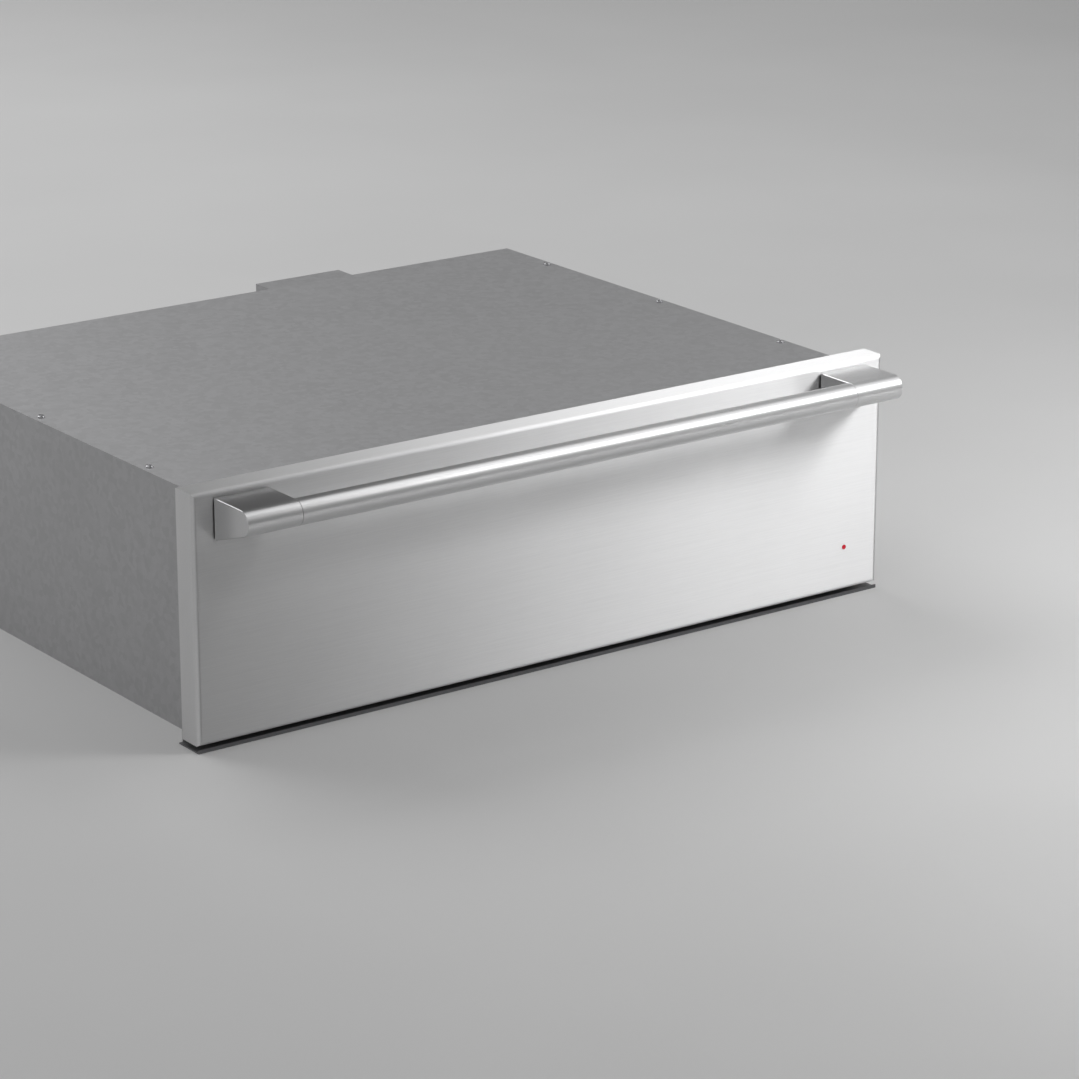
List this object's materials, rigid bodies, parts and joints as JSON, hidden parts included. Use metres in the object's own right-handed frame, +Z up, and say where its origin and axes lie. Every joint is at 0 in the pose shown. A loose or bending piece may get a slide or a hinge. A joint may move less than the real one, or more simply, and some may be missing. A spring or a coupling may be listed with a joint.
{
  "type": "built-in warming drawer",
  "caption": "Built-in warming drawer with a flat brushed steel front, a tubular bar handle on end blocks and a red light, on telescopic slides in a heated casing.",
  "frame": {"origin": "centre of the underside of the casing, where it rests on the cabinet's floor", "axes": "+X to the right seen from the front, +Y to the back, so the drawer opens towards -Y, +Z up"},
  "size_m": [0.756, 0.6695, 0.2312],
  "materials": {
    "stainless_front": "stainless steel, brushed along its width",
    "stainless_handle": "stainless steel, finely brushed",
    "stainless_pan": "stainless steel, satin",
    "galvanised": "zinc-coated steel sheet, dull spangle",
    "zinc_slide": "bright zinc-plated cold-rolled steel",
    "trim_grey": "dark grey painted steel strip",
    "liner_enamel": "dark grey vitreous enamel on steel",
    "mineral_wool": "pressed mineral wool",
    "gasket": "black silicone rubber",
    "pad_black": "black rubber washer pad",
    "mat_grey": "dark grey silicone, ribbed",
    "sheath": "dark oxidised heater sheath",
    "clip_steel": "plain steel saddle",
    "shield": "perforated stainless sheet",
    "probe": "polished probe tube",
    "thermostat": "phenolic body",
    "fascia": "black glossy fascia",
    "button": "soft-touch grey push button",
    "board": "green circuit board",
    "box_steel": "zinc-coated steel sheet",
    "gland": "black nylon",
    "conduit": "grey conduit",
    "lamp": "red lamp",
    "light_pipe": "translucent red acrylic",
    "screw": "zinc-plated screw"
  },
  "bodies": {
    "casing": {"base_pan": "galvanised", "side_panel_left": "galvanised", "side_panel_right": "galvanised", "back_panel": "galvanised", "top_cover": "galvanised", "frame_stile_left": "stainless_pan", "frame_stile_right": "stainless_pan", "frame_top_rail": "stainless_pan", "frame_bottom_rail": "stainless_pan", "lower_trim": "trim_grey", "liner_floor": "liner_enamel", "liner_top": "liner_enamel", "liner_back": "liner_enamel", "liner_side_left": "liner_enamel", "liner_side_right": "liner_enamel", "insulation_left": "mineral_wool", "insulation_right": "mineral_wool", "insulation_top": "mineral_wool", "insulation_back": "mineral_wool", "heating_element": "sheath", "element_clips": "clip_steel", "element_shield": "shield", "temperature_sensor": "probe", "limit_thermostat": "thermostat", "control_fascia": "fascia", "control_box": "box_steel", "control_board": "board", "indicator_lamp": "lamp", "terminal_box": "box_steel", "cable_gland": "gland", "wiring_conduit": "conduit", "slide_outer_left": "zinc_slide", "slide_outer_right": "zinc_slide", "casing_screws": "screw"},
    "drawer": {"front_skin": "stainless_front", "front_lining": "stainless_pan", "front_insulation": "mineral_wool", "front_gasket": "gasket", "light_pipe": "light_pipe", "handle_bar": "stainless_handle", "handle_block_left": "stainless_handle", "handle_block_right": "stainless_handle", "handle_pad_left": "pad_black", "handle_pad_right": "pad_black", "handle_bolts": "screw", "drawer_pan": "stainless_pan", "pan_mat": "mat_grey", "pan_screws": "screw", "slide_inner_left": "zinc_slide", "slide_inner_right": "zinc_slide"},
    "runner_left": {"slide_middle_left": "zinc_slide"},
    "runner_right": {"slide_middle_right": "zinc_slide"},
    "outer_cage_left": {"ball_cage_outer_left": "zinc_slide"},
    "outer_cage_right": {"ball_cage_outer_right": "zinc_slide"},
    "inner_cage_left": {"ball_cage_inner_left": "zinc_slide"},
    "inner_cage_right": {"ball_cage_inner_right": "zinc_slide"},
    "power_key": {"button_power": "button"},
    "lower_key": {"button_lower": "button"},
    "raise_key": {"button_raise": "button"},
    "timer_key": {"button_timer": "button"}
  },
  "joints": [
    {"name": "drawer_slide", "type": "slide", "parent": "casing", "child": "drawer", "axis": [0, -1, 0], "range_m": [0, 0.46]},
    {"name": "runner_left_slide", "type": "slide", "parent": "casing", "child": "runner_left", "axis": [0, -1, 0], "range_m": [0, 0.23]},
    {"name": "outer_cage_left_slide", "type": "slide", "parent": "casing", "child": "outer_cage_left", "axis": [0, -1, 0], "range_m": [0, 0.115]},
    {"name": "inner_cage_left_slide", "type": "slide", "parent": "casing", "child": "inner_cage_left", "axis": [0, -1, 0], "range_m": [0, 0.345]},
    {"name": "runner_right_slide", "type": "slide", "parent": "casing", "child": "runner_right", "axis": [0, -1, 0], "range_m": [0, 0.23]},
    {"name": "outer_cage_right_slide", "type": "slide", "parent": "casing", "child": "outer_cage_right", "axis": [0, -1, 0], "range_m": [0, 0.115]},
    {"name": "inner_cage_right_slide", "type": "slide", "parent": "casing", "child": "inner_cage_right", "axis": [0, -1, 0], "range_m": [0, 0.345]},
    {"name": "power_press", "type": "slide", "parent": "casing", "child": "power_key", "axis": [0, 1, 0], "range_m": [0, 0.001], "stiffness_N_per_m": 600},
    {"name": "lower_press", "type": "slide", "parent": "casing", "child": "lower_key", "axis": [0, 1, 0], "range_m": [0, 0.001], "stiffness_N_per_m": 600},
    {"name": "raise_press", "type": "slide", "parent": "casing", "child": "raise_key", "axis": [0, 1, 0], "range_m": [0, 0.001], "stiffness_N_per_m": 600},
    {"name": "timer_press", "type": "slide", "parent": "casing", "child": "timer_key", "axis": [0, 1, 0], "range_m": [0, 0.001], "stiffness_N_per_m": 600}
  ],
  "couplings": [
    {"joint": "runner_left_slide", "follows": "drawer_slide", "ratio": 0.5},
    {"joint": "outer_cage_left_slide", "follows": "drawer_slide", "ratio": 0.25},
    {"joint": "inner_cage_left_slide", "follows": "drawer_slide", "ratio": 0.75},
    {"joint": "runner_right_slide", "follows": "drawer_slide", "ratio": 0.5},
    {"joint": "outer_cage_right_slide", "follows": "drawer_slide", "ratio": 0.25},
    {"joint": "inner_cage_right_slide", "follows": "drawer_slide", "ratio": 0.75}
  ]
}
